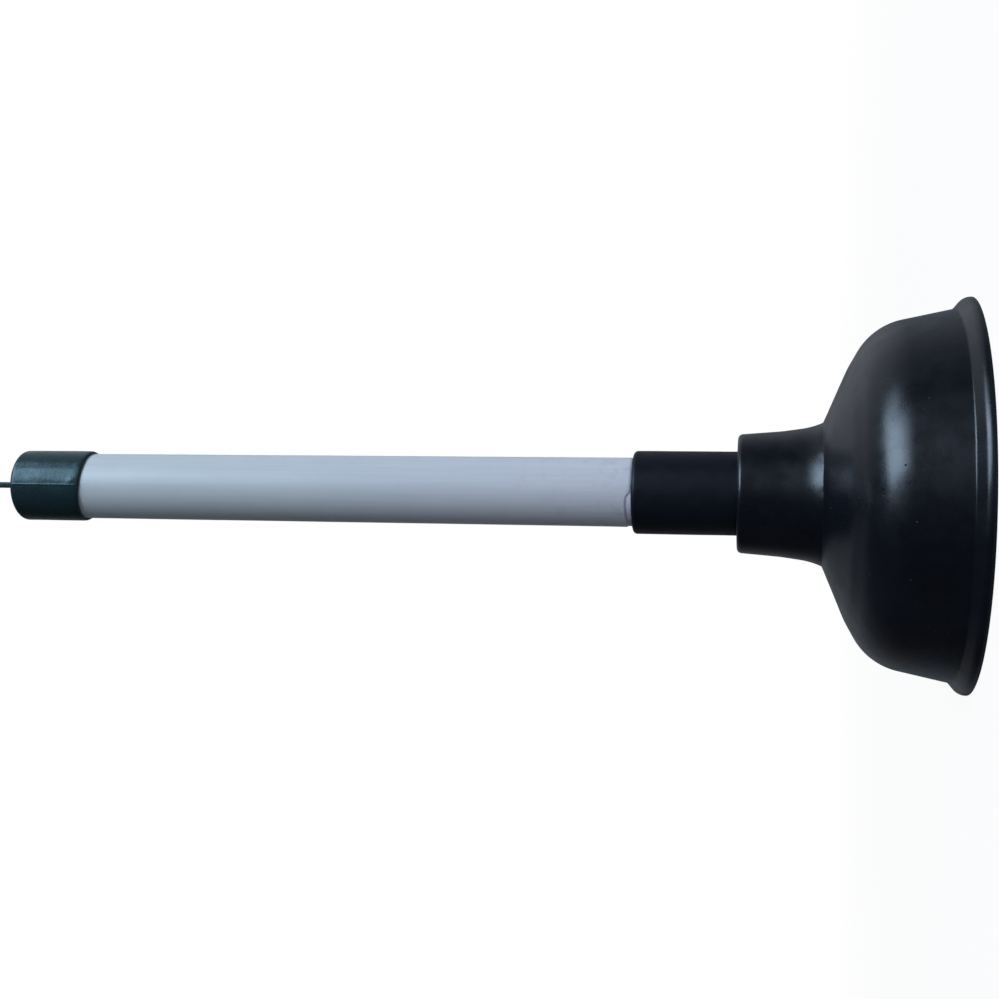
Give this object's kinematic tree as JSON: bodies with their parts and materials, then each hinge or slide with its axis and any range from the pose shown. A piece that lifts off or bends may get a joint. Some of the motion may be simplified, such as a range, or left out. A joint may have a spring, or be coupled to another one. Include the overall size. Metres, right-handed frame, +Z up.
{
  "type": "sink plunger",
  "caption": "Sink plunger: black rubber cup with a flared collar, plastic neck sleeve, plastic-skinned steel tube handle and an end cap with a hanging eye.",
  "frame": {"origin": "centre of the sealing rim's flat face, which the plunger stands on", "axes": "+Z up the handle, +X along the axis of the hanging eye, so that the hanging tab lies in the YZ plane"},
  "size_m": [0.12, 0.12, 0.3282],
  "materials": {
    "cup_rubber": "matt black moulded rubber with a faint bloom",
    "sleeve_plastic": "satin black moulded plastic",
    "zinc_steel": "bright zinc plate",
    "bush_plastic": "dark grey moulded plastic",
    "tube_steel": "thin-walled steel tube, welded and drawn",
    "film_plastic": "light lavender-grey plastic skin, satin gloss",
    "cap_plastic": "dark green-black moulded plastic, glossy"
  },
  "bodies": {
    "cup": {"rubber_cup": "cup_rubber"},
    "neck": {"neck_sleeve": "sleeve_plastic", "cup_washer": "zinc_steel", "retaining_screw": "zinc_steel"},
    "handle": {"tube_bush": "bush_plastic", "handle_tube": "tube_steel", "handle_film": "film_plastic", "end_cap": "cap_plastic"}
  },
  "joints": [
    {"name": "plunge", "type": "slide", "parent": "cup", "child": "neck", "axis": [0, 0, 1], "range_m": [-0.02, 0.004], "stiffness_N_per_m": 3000, "deforming": ["rubber_cup"]},
    {"name": "handle_pull", "type": "slide", "parent": "neck", "child": "handle", "axis": [0, 0, 1], "range_m": [0, 0.05]}
  ]
}
